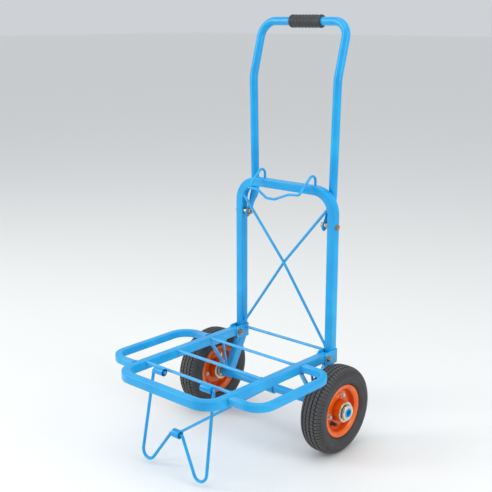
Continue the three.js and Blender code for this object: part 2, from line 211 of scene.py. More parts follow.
def copy_of(obj, name):
    choose(obj)
    bpy.ops.object.duplicate(linked=False)
    made = bpy.context.object
    made.name = name
    made.data.name = name
    return made


def mirror_copy(obj, name):
    """A copy on the cart's other side, with its faces turned out again."""
    made = copy_of(obj, name)
    bpy.ops.object.mode_set(mode="EDIT")
    bpy.ops.mesh.select_all(action="SELECT")
    scale_about((0, 0, 0), (-1, 1, 1))
    bpy.ops.mesh.flip_normals()
    bpy.ops.object.mode_set(mode="OBJECT")
    return made


def facing(direction):
    """Turn that brings +Z to direction, with the X side kept along the cart's X or Y."""
    z = Vector(direction).normalized()
    side = Vector((0, 1, 0)) if abs(z.x) > 0.7 else Vector((1, 0, 0))
    x = (side - z * side.dot(z)).normalized()
    return Matrix((x, z.cross(x), z)).transposed().to_euler()


def sweep(name, outline, points, radii, steps=10, wall=0.0, close=True):
    """A bar or tube bent along points: the outline is extruded along each straight run and
    spun round each bend. outline is ("square", side, corner), ("flat", side, other side) or
    ("round", radius, sides)."""
    line = [at(*p) for p in points]
    direction = (line[1] - line[0]).normalized()
    clear_selection()
    if outline[0] == "square":
        bpy.ops.mesh.primitive_plane_add(size=outline[1] * MM, location=line[0],
                                         rotation=facing(direction))
        obj = start_edit(name)
        bpy.ops.mesh.bevel(affect="VERTICES", offset=outline[2] * MM, segments=4)
        bpy.ops.mesh.select_all(action="SELECT")
        bpy.ops.mesh.delete(type="ONLY_FACE")
    elif outline[0] == "flat":
        bpy.ops.mesh.primitive_plane_add(size=1, location=line[0], rotation=facing(direction))
        bpy.context.object.scale = (outline[1] * MM, outline[2] * MM, 1)
        obj = start_edit(name)
        bpy.ops.mesh.bevel(affect="VERTICES", offset=0.6 * MM, segments=2)
        bpy.ops.mesh.select_all(action="SELECT")
        bpy.ops.mesh.delete(type="ONLY_FACE")
    else:
        bpy.ops.mesh.primitive_circle_add(vertices=outline[2], radius=outline[1] * MM,
                                          location=line[0], rotation=facing(direction))
        obj = start_edit(name)
    bpy.ops.mesh.select_mode(type="EDGE")
    bpy.ops.mesh.select_all(action="SELECT")
    here = line[0]
    for i in range(1, len(line) - 1):
        a = (line[i] - line[i - 1]).normalized()
        b = (line[i + 1] - line[i]).normalized()
        turn = a.angle(b)
        radius = radii[i - 1] * MM
        bend_from = line[i] - a * (radius * math.tan(turn / 2))
        if (bend_from - here).length > 1e-6:
            extrude(bend_from - here)
        inward = (b - a * b.dot(a)).normalized()
        count = max(2, round(steps * turn / (math.pi / 2)))
        bpy.ops.mesh.spin(steps=count, angle=-turn, center=bend_from + inward * radius,
                          axis=a.cross(b).normalized(), dupli=False)
        here = line[i] + b * (radius * math.tan(turn / 2))
    extrude(line[-1] - here)
    if wall:
        bpy.ops.mesh.select_all(action="SELECT")
        bpy.ops.mesh.normals_make_consistent(inside=False)
        bpy.ops.object.mode_set(mode="OBJECT")
        modify(obj, "SOLIDIFY", thickness=wall * MM, offset=-1, use_even_offset=True)
    else:
        if close:
            bpy.ops.mesh.select_all(action="SELECT")
            bpy.ops.mesh.fill_holes(sides=0)
        bpy.ops.object.mode_set(mode="OBJECT")
    return close_up(obj)


def lathe(name, profile, x=0.0, y=0.0, z=0.0, steps=64, rounding=0.0, closed=True,
          angle=360.0, finish=True):
    """A profile of (distance along the axle's direction, radius) drawn vertex by vertex,
    its corners rounded, then spun round the axis through y, z."""
    clear_selection()
    first = at(x + profile[0][0], y, z + profile[0][1])
    bpy.ops.mesh.primitive_plane_add(size=MM, location=first)
    obj = start_edit(name)
    bpy.ops.mesh.merge(type="CENTER")
    bpy.ops.mesh.select_mode(type="VERT")
    here = profile[0]
    for a, r in profile[1:]:
        extrude(Vector((a - here[0], 0, r - here[1])) * MM)
        here = (a, r)
    if closed:
        bpy.ops.mesh.select_all(action="DESELECT")
        bpy.ops.object.mode_set(mode="OBJECT")
        obj.data.vertices[0].select = True
        obj.data.vertices[len(profile) - 1].select = True
        bpy.ops.object.mode_set(mode="EDIT")
        bpy.ops.mesh.edge_face_add()
    bpy.ops.mesh.select_all(action="SELECT")
    if rounding:
        bpy.ops.mesh.bevel(affect="VERTICES", offset=rounding * MM, segments=3)
        bpy.ops.mesh.select_all(action="SELECT")
        bpy.ops.mesh.delete(type="ONLY_FACE")
        bpy.ops.mesh.select_all(action="SELECT")
    bpy.ops.mesh.spin(steps=steps, angle=math.radians(angle), center=at(x, y, z),
                      axis=(1, 0, 0), dupli=False)
    bpy.ops.object.mode_set(mode="OBJECT")
    return close_up(obj) if finish else obj


def ring(name, x0, x1, inner, outer, y, z, steps=56, rounding=0.4):
    return lathe(name, [(x0, inner), (x1, inner), (x1, outer), (x0, outer)], 0, y, z,
                 steps=steps, rounding=rounding)


def weld(name, centre, axis, radius):
    """Bead of a weld round a rod: a slender torus whose ripples are every second section."""
    clear_selection()
    major = 28
    bpy.ops.mesh.primitive_torus_add(major_radius=radius * MM, minor_radius=1.15 * MM,
                                     major_segments=major, minor_segments=8,
                                     location=at(*centre), rotation=facing(axis))
    obj = start_edit(name)
    middle = at(*centre)
    normal = Vector(axis).normalized()
    across = facing(axis).to_matrix() @ Vector((1, 0, 0))

    def ripple(co):
        flat = (co - middle) - normal * (co - middle).dot(normal)
        turn = math.atan2(normal.dot(across.cross(flat)), across.dot(flat))
        return round(turn / (2 * math.pi / major)) % 2 == 0
    select_where(obj, "VERT", ripple)
    bpy.ops.transform.shrink_fatten(value=0.28 * MM)
    bpy.ops.object.mode_set(mode="OBJECT")
    return close_up(obj, 60)


def finished(piece, node, slot, body, finish=None):
    """The piece stands for a CAD node, rides on its body and takes the record's slot; its
    finish is that slot's unless another is given."""
    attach(piece, body)
    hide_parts(node)
    piece.name = node + "_piece"
    piece.data.name = piece.name
    piece.data.materials.clear()
    piece.data.materials.append(finish or FINISHES[slot])
    return piece


# ---- materials ----
def linear(hex_value):
    """sRGB hex to the linear colour that the shader wants."""
    parts = [(hex_value >> shift & 255) / 255 for shift in (16, 8, 0)]
    return tuple(c / 12.92 if c <= 0.04045 else ((c + 0.055) / 1.055) ** 2.4
                 for c in parts) + (1.0,)


def add(tree, kind, inputs=None, **settings):
    """Adds a node; an input that is a socket is linked, any other value is set on it."""
    node = tree.nodes.new(kind)
    for key, value in settings.items():
        setattr(node, key, value)
    for key, value in (inputs or {}).items():
        if isinstance(value, bpy.types.NodeSocket):
            tree.links.new(value, node.inputs[key])
        else:
            node.inputs[key].default_value = value
    return node


def ramp(tree, factor, stops):
    node = add(tree, "ShaderNodeValToRGB", {"Fac": factor})
    while len(node.color_ramp.elements) < len(stops):
        node.color_ramp.elements.new(0.5)
    for element, (place, colour) in zip(node.color_ramp.elements, stops):
        element.position = place
        element.color = colour
    return node.outputs["Color"]


def mixed(tree, share, first, second, blend="MIX"):
    """The second colour laid over the first by that share."""
    factor, colour_a, colour_b, result = 0, 6, 7, 2
    node = tree.nodes.new("ShaderNodeMix")
    node.data_type = "RGBA"
    node.blend_type = blend
    for key, value in ((factor, share), (colour_a, first), (colour_b, second)):
        if isinstance(value, bpy.types.NodeSocket):
            tree.links.new(value, node.inputs[key])
        else:
            node.inputs[key].default_value = value
    return node.outputs[result]


def grey(value):
    return (value, value, value, 1.0)


def new_material(name):
    material = bpy.data.materials.new(name)
    material.use_nodes = True
    tree = material.node_tree
    tree.nodes.clear()
    return material, tree, add(tree, "ShaderNodeTexCoord").outputs["Object"]


def finish_material(tree, shader):
    add(tree, "ShaderNodeOutputMaterial", {"Surface": shader.outputs["BSDF"]})


def per_metre(millimetres):
    """Texture scale whose features are that many millimetres apart."""
    return 1000.0 / millimetres


def powder_coat():
    """Sky-blue polyester powder coat on steel: glossy, with the orange-peel ripple of a baked
    powder, a painted highlight of lighter blue on its edges, darker and duller in patches."""
    material, tree, place = new_material("sky_blue_powder_coated_steel")
    patches = add(tree, "ShaderNodeTexNoise", {"Vector": place, "Scale": per_metre(70),
                                               "Detail": 3.0, "Roughness": 0.55})
    colour = ramp(tree, patches.outputs["Fac"], [
        (0.30, linear(0x0098DA)), (0.52, linear(0x08A4E3)), (0.75, linear(0x1EB0EA))])
    # Painted highlight: a lighter blue laid over the convex edges, broken up by fine noise.
    edges = add(tree, "ShaderNodeNewGeometry")
    painted_edge_highlight_mask = add(tree, "ShaderNodeMapRange", {"Value": edges.outputs["Pointiness"],
                                            "From Min": 0.53, "From Max": 0.60,
                                            "To Min": 0.0, "To Max": 0.35})
    specks = add(tree, "ShaderNodeTexNoise", {"Vector": place, "Scale": per_metre(3),
                                              "Detail": 2.0})
    speckled_painted_highlight = add(tree, "ShaderNodeMath", {0: painted_edge_highlight_mask.outputs["Result"],
                                        1: specks.outputs["Fac"]}, operation="MULTIPLY")
    colour = mixed(tree, speckled_painted_highlight.outputs["Value"], colour, linear(0x8FD4FA))
    # Orange peel about 2.2 mm apart, drawn a little coarser than life so that it shows.
    peel = add(tree, "ShaderNodeTexNoise", {"Vector": place, "Scale": per_metre(2.2),
                                            "Detail": 1.0})
    bump = add(tree, "ShaderNodeBump", {"Height": peel.outputs["Fac"], "Strength": 0.16,
                                        "Distance": 0.0004})
    dull = add(tree, "ShaderNodeMapRange", {"Value": patches.outputs["Fac"],
                                            "To Min": 0.24, "To Max": 0.40})
    shader = add(tree, "ShaderNodeBsdfPrincipled", {
        "Base Color": colour, "Roughness": dull.outputs["Result"],
        "Normal": bump.outputs["Normal"], "IOR": 1.42, "Coat Weight": 0.15,
        "Coat Roughness": 0.12})
    finish_material(tree, shader)
    return material


def orange_enamel():
    """Orange stoving enamel sprayed on pressed steel: smooth and glossy, with painted shade of
    a redder orange in the hollows of the dish, with fine dust specks in the coat."""
    material, tree, place = new_material("orange_enamelled_pressed_steel")
    patches = add(tree, "ShaderNodeTexNoise", {"Vector": place, "Scale": per_metre(40),
                                               "Detail": 3.0})
    colour = ramp(tree, patches.outputs["Fac"], [
        (0.30, linear(0xDC5000)), (0.55, linear(0xEC6404)), (0.80, linear(0xF57A10))])
    # Painted shade: where occlusion finds a hollow of the dish, the orange is multiplied towards
    # a deeper red.
    hollow = add(tree, "ShaderNodeAmbientOcclusion", {"Distance": 0.030}, samples=8)
    shade = ramp(tree, hollow.outputs["AO"], [(0.25, linear(0xC83C08)), (0.85, grey(1.0))])
    colour = mixed(tree, 0.55, colour, shade, "MULTIPLY")
    specks = add(tree, "ShaderNodeTexVoronoi", {"Vector": place, "Scale": per_metre(2.5)})
    bump = add(tree, "ShaderNodeBump", {"Height": specks.outputs["Distance"],
                                        "Strength": 0.06, "Distance": 0.0003})
    dull = add(tree, "ShaderNodeMapRange", {"Value": patches.outputs["Fac"],
                                            "To Min": 0.22, "To Max": 0.36})
    shader = add(tree, "ShaderNodeBsdfPrincipled", {
        "Base Color": colour, "Roughness": dull.outputs["Result"],
        "Normal": bump.outputs["Normal"], "IOR": 1.42, "Coat Weight": 0.2,
        "Coat Roughness": 0.08})
    finish_material(tree, shader)
    return material


def tyre_rubber():
    """Carbon-filled natural rubber from a mould: dark grey, matt, greyer on raised edges with
    dust and a painted highlight, with a fine moulded grain."""
    material, tree, place = new_material("moulded_tyre_rubber")
    patches = add(tree, "ShaderNodeTexNoise", {"Vector": place, "Scale": per_metre(25),
                                               "Detail": 5.0, "Roughness": 0.6})
    colour = ramp(tree, patches.outputs["Fac"], [
        (0.30, linear(0x2C2C2E)), (0.55, linear(0x363638)), (0.80, linear(0x434345))])
    # Raised edges turn light grey: dust together with a painted highlight.
    edges = add(tree, "ShaderNodeNewGeometry")
    raised = add(tree, "ShaderNodeMapRange", {"Value": edges.outputs["Pointiness"],
                                              "From Min": 0.52, "From Max": 0.58,
                                              "To Min": 0.0, "To Max": 0.45})
    colour = mixed(tree, raised.outputs["Result"], colour, linear(0x938D86))
    grain = add(tree, "ShaderNodeTexNoise", {"Vector": place, "Scale": per_metre(0.9),
                                             "Detail": 2.0})
    bump = add(tree, "ShaderNodeBump", {"Height": grain.outputs["Fac"], "Strength": 0.30,
                                        "Distance": 0.0004})
    dull = add(tree, "ShaderNodeMapRange", {"Value": patches.outputs["Fac"],
                                            "To Min": 0.52, "To Max": 0.74})
    shader = add(tree, "ShaderNodeBsdfPrincipled", {
        "Base Color": colour, "Roughness": dull.outputs["Result"],
        "Normal": bump.outputs["Normal"], "IOR": 1.52})
    finish_material(tree, shader)
    return material


def soft_rubber():
    """Moulded soft PVC rubber of the grip and the valve: charcoal, satin, lighter and rougher
    in random patches, with a fine grain."""
    material, tree, place = new_material("moulded_soft_pvc_rubber")
    patches = add(tree, "ShaderNodeTexNoise", {"Vector": place, "Scale": per_metre(14),
                                               "Detail": 4.0})
    colour = ramp(tree, patches.outputs["Fac"], [
        (0.30, linear(0x2D2D30)), (0.60, linear(0x39393C)), (0.85, linear(0x48484B))])
    grain = add(tree, "ShaderNodeTexNoise", {"Vector": place, "Scale": per_metre(0.7),
                                             "Detail": 2.0})
    bump = add(tree, "ShaderNodeBump", {"Height": grain.outputs["Fac"], "Strength": 0.25,
                                        "Distance": 0.0003})
    dull = add(tree, "ShaderNodeMapRange", {"Value": patches.outputs["Fac"],
                                            "To Min": 0.42, "To Max": 0.62})
    shader = add(tree, "ShaderNodeBsdfPrincipled", {
        "Base Color": colour, "Roughness": dull.outputs["Result"],
        "Normal": bump.outputs["Normal"], "IOR": 1.52})
    finish_material(tree, shader)
    return material


def zinc_plate(name, tints):
    """Zinc-plated and passivated steel: metal with turning marks and cloudy patches of the
    three tints, clear passivation being pale and yellow passivation brassy."""
    material, tree, place = new_material(name)
    clouds = add(tree, "ShaderNodeTexNoise", {"Vector": place, "Scale": per_metre(6),
                                              "Detail": 4.0})
    colour = ramp(tree, clouds.outputs["Fac"], [
        (0.30, linear(tints[0])), (0.55, linear(tints[1])), (0.80, linear(tints[2]))])
    marks = add(tree, "ShaderNodeTexNoise", {"Vector": place, "Scale": per_metre(0.8),
                                             "Detail": 3.0})
    bump = add(tree, "ShaderNodeBump", {"Height": marks.outputs["Fac"], "Strength": 0.12,
                                        "Distance": 0.0002})
    dull = add(tree, "ShaderNodeMapRange", {"Value": clouds.outputs["Fac"],
                                            "To Min": 0.24, "To Max": 0.46})
    shader = add(tree, "ShaderNodeBsdfPrincipled", {
        "Base Color": colour, "Roughness": dull.outputs["Result"], "Metallic": 0.9,
        "Normal": bump.outputs["Normal"]})
    finish_material(tree, shader)
    return material


FINISHES = {"blue_paint": powder_coat(), "orange_paint": orange_enamel(),
            "tyre_rubber": tyre_rubber(), "soft_rubber": soft_rubber(),
            "zinc_plate": zinc_plate("zinc_plated_steel", (0xC9C0A4, 0xD9D6CC, 0xEDECE8))}
YELLOW_ZINC = zinc_plate("yellow_passivated_zinc_steel", (0x92775A, 0xB09A7C, 0xCEC0AA))
SLOT_OF = {part["node"]: part["material_slot"] for part in frame["record"]["subparts"]}
for node_name, node in frame["nodes"].items():
    node.data.materials.clear()
    node.data.materials.append(FINISHES[SLOT_OF[node_name]])

SQUARE = ("square", TUBE, TUBE_CORNER)
WING = ("square", WING_TUBE, WING_CORNER)
inner_x = HALF_WIDTH - TUBE / 2


# ---- upright frame ----
def upright_frame():
    slope = (KNEE_Z - AXLE[1]) / -AXLE[0]
    foot = (-(KNEE_Z - FOOT_END_Z) / slope, FOOT_END_Z)
    tube = sweep("upright", SQUARE, [
        (-HALF_WIDTH, *foot), (-HALF_WIDTH, 0, KNEE_Z), (-HALF_WIDTH, 0, CROSSBAR_Z),
        (HALF_WIDTH, 0, CROSSBAR_Z), (HALF_WIDTH, 0, KNEE_Z), (HALF_WIDTH, *foot)],
        [28, UPRIGHT_CORNER_R, UPRIGHT_CORNER_R, 28], steps=14, wall=WALL)
    return finished(tube, "upright_frame", "blue_paint", "frame")


def cross_brace():
    rods, beads = [], [weld("bead", (0, -4.2, BRACE_MIDDLE_Z), (0, 1, 0), 3.0)]
    for side, y in BRACE_RODS:
        rods.append(sweep("brace_rod", ("round", BRACE_R, 16), [
            (-side * (inner_x + 1), y, BRACE_TOP_Z), (0, y, BRACE_MIDDLE_Z),
            (side * (inner_x + 1), y, BRACE_FOOT_Z)], [60], steps=14))
        for x, z in ((-side, BRACE_TOP_Z - 1), (side, BRACE_FOOT_Z + 1)):
            beads.append(weld("bead", (x * (inner_x - 0.4), y, z), (1, 0, 0.3), 3.4))
    return finished(join("brace", rods + beads), "cross_brace", "blue_paint", "frame")


def lower_cross_rod():
    rod = sweep("lower_rod", ("round", ROD_R, 18), [(-121.4, *LOWER_ROD), (121.4, *LOWER_ROD)],
                [])
    beads = [weld("bead", (side * 121.0, *LOWER_ROD), (1, 0, 0), 3.8) for side in (-1, 1)]
    return finished(join("lower_rod", [rod] + beads), "lower_cross_rod", "blue_paint", "frame")


def wire_catch():
    behind = TUBE / 2 + CATCH_R
    wire = sweep("catch", ("round", CATCH_R, 14), [
        (-CATCH_X, behind, CATCH_END_Z), (-CATCH_X, behind, CATCH_PEAK_Z),
        (-CATCH_X, CATCH_Y, 567.5), (-46, CATCH_Y, 566), (-20, CATCH_Y, 549.5),
        (4, CATCH_Y, 549.5), (44, CATCH_Y, 565.5), (CATCH_X, CATCH_Y, 567.5),
        (CATCH_X, behind, CATCH_PEAK_Z), (CATCH_X, behind, CATCH_END_Z)],
        [12, 5, 16, 14, 14, 24, 5, 12], steps=12)
    beads = [weld("bead", (side * CATCH_X, behind - 1.4, z), (0, 0, 1), 2.6)
             for side in (-1, 1) for z in (568, 580)]
    return finished(join("catch", [wire] + beads), "wire_catch", "blue_paint", "frame")


def hinge_bracket(side, name):
    """A strip of 3 mm steel folded round the upright, its front corners cut round."""
    x = side * HALF_WIDTH
    # From the middle of the upright to the middle of the strip.
    reach = TUBE / 2 + 0.3 + BRACKET_THICK / 2
    front, back = -34.0, 14.0
    strip = sweep("bracket", ("flat", BRACKET_THICK, BRACKET_HEIGHT), [
        (x - reach, front, BRACKET_Z), (x - reach, reach, BRACKET_Z),
        (x + reach, reach, BRACKET_Z), (x + reach, front, BRACKET_Z)], [4.5, 4.5], steps=8)
    clear_selection()
    bpy.ops.mesh.primitive_cube_add(size=1, location=at(x, (front + back) / 2, BRACKET_Z))
    bpy.context.object.scale = (40 * MM, (back - front) * MM, (BRACKET_HEIGHT + 0.4) * MM)
    keep = start_edit("round_front")
    edge = at(0, front, 0).y
    select_where(keep, "EDGE", lambda a, b: abs(a.y - edge) < 1e-5 and abs(b.y - edge) < 1e-5
                 and abs(a.z - b.z) < 1e-6)
    bpy.ops.mesh.bevel(affect="EDGES", offset=13.0 * MM, segments=12)
    bpy.ops.object.mode_set(mode="OBJECT")
    cut(strip, keep, "INTERSECT")
    close_up(strip, 35)
    return finished(strip, "hinge_bracket_" + name, "blue_paint", "frame")


def hexagon(name, x0, x1, radius, y, z):
    """Hexagonal head or nut along X, with its outer face drawn in to a chamfer."""
    clear_selection()
    bpy.ops.mesh.primitive_cylinder_add(vertices=6, radius=radius * MM,
                                        depth=abs(x1 - x0) * MM, location=at((x0 + x1) / 2, y, z),
                                        rotation=(0, math.pi / 2, 0))
    obj = start_edit(name)
    outer = at(x1, 0, 0).x
    select_where(obj, "FACE", lambda c, n: abs(c.x - outer) < 1e-6)
    bpy.ops.mesh.bevel(affect="EDGES", offset=0.9 * MM, segments=2)
    bpy.ops.object.mode_set(mode="OBJECT")
    return close_up(obj, 30)


def bolt_and_nut(kind, side, name, y, z, head_x, nut_x, inward_end):
    """Flanged hexagon bolt from outboard, its nut inboard and the threaded end past it."""
    s = side
    head = hexagon("head", s * (head_x + 1.0), s * (head_x + 5.0), 5.6, y, z)
    flange = lathe("flange", [(s * head_x, 0.1), (s * head_x, 6.8), (s * (head_x + 0.7), 6.8),
                              (s * (head_x + 1.6), 6.0), (s * (head_x + 1.6), 0.1)],
                   0, y, z, steps=32, closed=False)
    shank = sweep("shank", ("round", 3.9, 20),
                  [(s * (head_x + 0.5), y, z), (s * inward_end, y, z)], [])
    bolt = join("bolt", [head, flange, shank])
    close_up(bolt, 30)
    finished(bolt, f"{kind}_bolt_{name}", "zinc_plate", "frame", YELLOW_ZINC)
    nut = hexagon("nut", s * nut_x, s * (nut_x - 5.6), 6.6, y, z)
    washer = ring("washer", s * nut_x, s * (nut_x - 1.2), 4.0, 7.6, y, z, 32, 0.25)
    thread = sweep("thread_end", ("round", 3.3, 20),
                   [(s * (nut_x - 3), y, z), (s * (nut_x - 7.6), y, z)], [])
    nut = join("nut", [nut, washer, thread])
    finished(nut, f"{kind}_nut_{name}", "zinc_plate", "frame", YELLOW_ZINC)


def platform_rest(side, name):
    x = side * HALF_WIDTH
    bar = sweep("bar", ("flat", 12, 4), [(x, -108.2, 190.2), (x, -57, 110)], [])
    prop = sweep("prop", ("round", 3.0, 16), [(x, -69.5, 189.5), (x, -54.5, 108)], [])
    pad = sweep("pad", ("flat", 14, 4), [(x, -114, 188.4), (x, -63, 188.4)], [])
    beads = [weld("bead", (x, -69.0, 187.0), (0, 0.15, 1), 3.4)]
    return finished(join("rest", [bar, prop, pad] + beads), "platform_rest_" + name,
                    "blue_paint", "frame")


def axle_pieces():
    tube = lathe("axle", [(-AXLE_HALF, 7.8), (AXLE_HALF, 7.8), (AXLE_HALF, AXLE_R),
                          (-AXLE_HALF, AXLE_R)], 0, *AXLE, steps=48, rounding=0.7)
    finished(tube, "axle_tube", "blue_paint", "frame")
    for side, name in SIDES:
        collar = ring("collar", side * COLLAR_XS[0], side * COLLAR_XS[1], AXLE_R + 0.1, 13,
                      *AXLE, steps=48, rounding=0.6)
        beads = [weld("bead", (side * x, *AXLE), (1, 0, 0), 11.0) for x in COLLAR_XS]
        finished(join("collar", [collar] + beads), "axle_collar_" + name, "blue_paint",
                 "frame")
        washer = lathe("washer", [
            (side * 220.4, 10.1), (side * 224.8, 10.1), (side * 224.8, 17.2),
            (side * 224, 18), (side * 220.4, 18)], 0, *AXLE, steps=48, rounding=0.35)
        finished(washer, "axle_cap_" + name, "zinc_plate", "frame")
        spacer = ring("spacer", side * 151, side * 157.4, 10.1, 16.5, *AXLE, steps=48,
                      rounding=0.6)
        finished(spacer, "axle_spacer_" + name, "zinc_plate", "frame")


# ---- platform ----
def platform_frame():
    rear_y = PIN[0] + PLATFORM_END_R
    tube = sweep("platform", SQUARE, [
        (-HALF_WIDTH, rear_y, PLATFORM_Z), (-HALF_WIDTH, PLATFORM_FRONT_Y, PLATFORM_Z),
        (HALF_WIDTH, PLATFORM_FRONT_Y, PLATFORM_Z), (HALF_WIDTH, rear_y, PLATFORM_Z)],
        [PLATFORM_CORNER_R, PLATFORM_CORNER_R], steps=16, wall=WALL)
    # The rear ends are cut round, so that they clear the upright as the platform folds.
    clear_selection()
    past_front = 430.0
    bpy.ops.mesh.primitive_cube_add(size=1, location=at(0, (rear_y - past_front) / 2, PIN[1]))
    bpy.context.object.scale = (0.4, (past_front + rear_y) * MM, 2 * PLATFORM_END_R * MM)
    keep = start_edit("round_end")
    back = at(0, rear_y, 0).y
    select_where(keep, "EDGE", lambda a, b: abs(a.y - back) < 1e-5 and abs(b.y - back) < 1e-5
                 and abs(a.z - b.z) < 1e-6)
    bpy.ops.mesh.bevel(affect="EDGES", offset=(PLATFORM_END_R - 0.1) * MM, segments=12)
    bpy.ops.object.mode_set(mode="OBJECT")
    cut(tube, keep, "INTERSECT")
    close_up(tube)
    return finished(tube, "platform_frame", "blue_paint", "platform")


def cross_rods():
    for name, y in ROD_YS.items():
        rod = sweep("rod", ("round", ROD_R, 18), [(-inner_x, y, ROD_Z), (inner_x, y, ROD_Z)],
                    [])
        beads = [weld("bead", (side * (inner_x - 0.5), y, ROD_Z - 0.4), (1, 0, 0), 3.7)
                 for side in (-1, 1)]
        finished(join("rod", [rod] + beads), "cross_rod_" + name, "blue_paint", "platform")


def side_wing(side, name):
    root = side * (HALF_WIDTH + TUBE / 2)
    wing = sweep("wing", WING, [
        (root, WING_REAR_Y, WING_Z), (side * WING_X, WING_REAR_Y, WING_Z),
        (side * WING_X, WING_FRONT_Y, WING_Z), (root, WING_FRONT_Y, WING_Z)],
        WING_CORNERS, steps=14, wall=WALL)
    beads = [square_weld(root, side, y) for y in (WING_REAR_Y, WING_FRONT_Y)]
    return finished(join("wing", [wing] + beads), "side_wing_" + name, "blue_paint",
                    "platform")


def square_weld(root, side_sign, y):
    """Flat bead of weld round the foot of a wing's tube, where it ends on the platform's."""
    bead = sweep("bead", ("square", WING_TUBE + 2.2, WING_CORNER + 1.1),
                 [(root, y, WING_Z), (root + side_sign * 1.5, y, WING_Z)], [])
    modify(bead, "BEVEL", width=0.7 * MM, segments=2, limit_method="ANGLE",
           angle_limit=math.radians(50))
    return bead


def leg_sleeves():
    for side, name in SIDES:
        sleeve = ring("sleeve", side * SLEEVE_XS[0], side * SLEEVE_XS[1], WIRE_R + 0.9,
                      SLEEVE_R, *LEG_SLEEVE, steps=40, rounding=0.5)
        finished(sleeve, "leg_sleeve_" + name, "blue_paint", "platform")


# ---- leg and link ----
def front_leg():
    lean = (FOOT_Y - LEG_SLEEVE[0]) / (LEG_SLEEVE[1] - WIRE_R)

    def on_leg(x, z):
        return (x, LEG_SLEEVE[0] + (LEG_SLEEVE[1] - z) * lean, z)
    inner_end = SLEEVE_XS[0] - 3
    foot_x, foot_z = FOOT_CORNER
    wire = sweep("leg", ("round", WIRE_R, 20), [
        (-inner_end, *LEG_SLEEVE), (-LEG_X, *LEG_SLEEVE), on_leg(-foot_x, foot_z),
        on_leg(-PEAK_CORNER_X, PEAK[1]), on_leg(PEAK_CORNER_X, PEAK[1]),
        on_leg(foot_x, foot_z), (LEG_X, *LEG_SLEEVE), (inner_end, *LEG_SLEEVE)],
        [4.2, 19, 7, 7, 19, 4.2], steps=12)
    return finished(wire, "front_leg", "blue_paint", "leg")


def leg_link():
    collar = ring("link_collar", -14, 14, AXLE_R + 0.4, 14, *AXLE, steps=48, rounding=0.8)
    sleeve = ring("link_sleeve", -10, 10, 6.7, 9.5, *PEAK, steps=40, rounding=0.6)
    along = Vector((0, PEAK[0] - AXLE[0], PEAK[1] - AXLE[1])).normalized()
    start = Vector((0, *AXLE)) + along * 12.5
    end = Vector((0, *PEAK)) - along * 8.6
    rod = sweep("link_rod", ("round", 3.2, 18), [tuple(start), tuple(end)], [])
    beads = [weld("bead", tuple(start + along * 1.2), along, 3.7),
             weld("bead", tuple(end - along * 0.6), along, 3.5)]
    return finished(join("link", [rod, collar, sleeve] + beads), "leg_link", "blue_paint",
                    "link")


# ---- handle ----
def handle_tube():
    """Round tube bent to a U; below the pinch each leg is pressed flat to an ear."""
    pinch_z = 536.0
    lean = HANDLE_Y / (HANDLE_KNEE_Z - HANDLE_PIVOT_Z)
    pinch_y = (pinch_z - HANDLE_PIVOT_Z) * lean

    def leg(side):
        return [(side * (EAR_X + 0.2), pinch_y, pinch_z),
                (side * (EAR_X + 0.8), HANDLE_Y, HANDLE_KNEE_Z),
                (side * HANDLE_X, HANDLE_Y, HANDLE_BEND_Z), (side * HANDLE_X, *HANDLE_TOP)]
    bends = [HANDLE_CORNER_R, HANDLE_BEND_R, HANDLE_CORNER_R]
    tube = sweep("handle", ("round", HANDLE_R, 32), leg(-1) + leg(1)[::-1],
                 bends + bends[::-1], steps=14, close=False)
    # Each foot: (x, z, half thickness, half width) of the rings on the way down to the eye.
    foot = [(EAR_X + 0.1, 527.5, 7.2, 9.8), (EAR_X, 519.5, 4.0, 9.6),
            (EAR_X, 511, 2.5, 10.8), (EAR_X, 499, 2.5, 12.0), (EAR_X, 494.5, 2.5, 11.1),
            (EAR_X, 490.4, 2.4, 8.4), (EAR_X, 488.0, 2.2, 4.6), (EAR_X, 487.2, 1.6, 1.6)]
    choose(tube)
    bpy.ops.object.mode_set(mode="EDIT")
    for side in (-1, 1):
        here, knee = (Vector(point) for point in leg(side)[:2])
        select_where(tube, "VERT", lambda co: co.x * side > 0 and co.z < (pinch_z + 6.5) * MM
                     and abs((co - at(*here)).dot(knee - here)) < 2e-5)
        thick = wide = HANDLE_R
        flatten = True
        for x, z, half_thick, half_wide in foot:
            there = Vector((side * x, (z - HANDLE_PIVOT_Z) * lean, z))
            extrude((there - here) * MM)
            middle = at(*there)
            if flatten:
                bpy.ops.transform.resize(value=(1, 1, 0.35), center_override=middle)
                flatten = False
            bpy.ops.transform.resize(value=(half_thick / thick, half_wide / wide, 1),
                                     center_override=middle)
            here, thick, wide = there, half_thick, half_wide
        bpy.ops.mesh.edge_face_add()
    bpy.ops.object.mode_set(mode="OBJECT")
    close_up(tube, 50)
    return finished(tube, "handle_tube", "blue_paint", "handle")


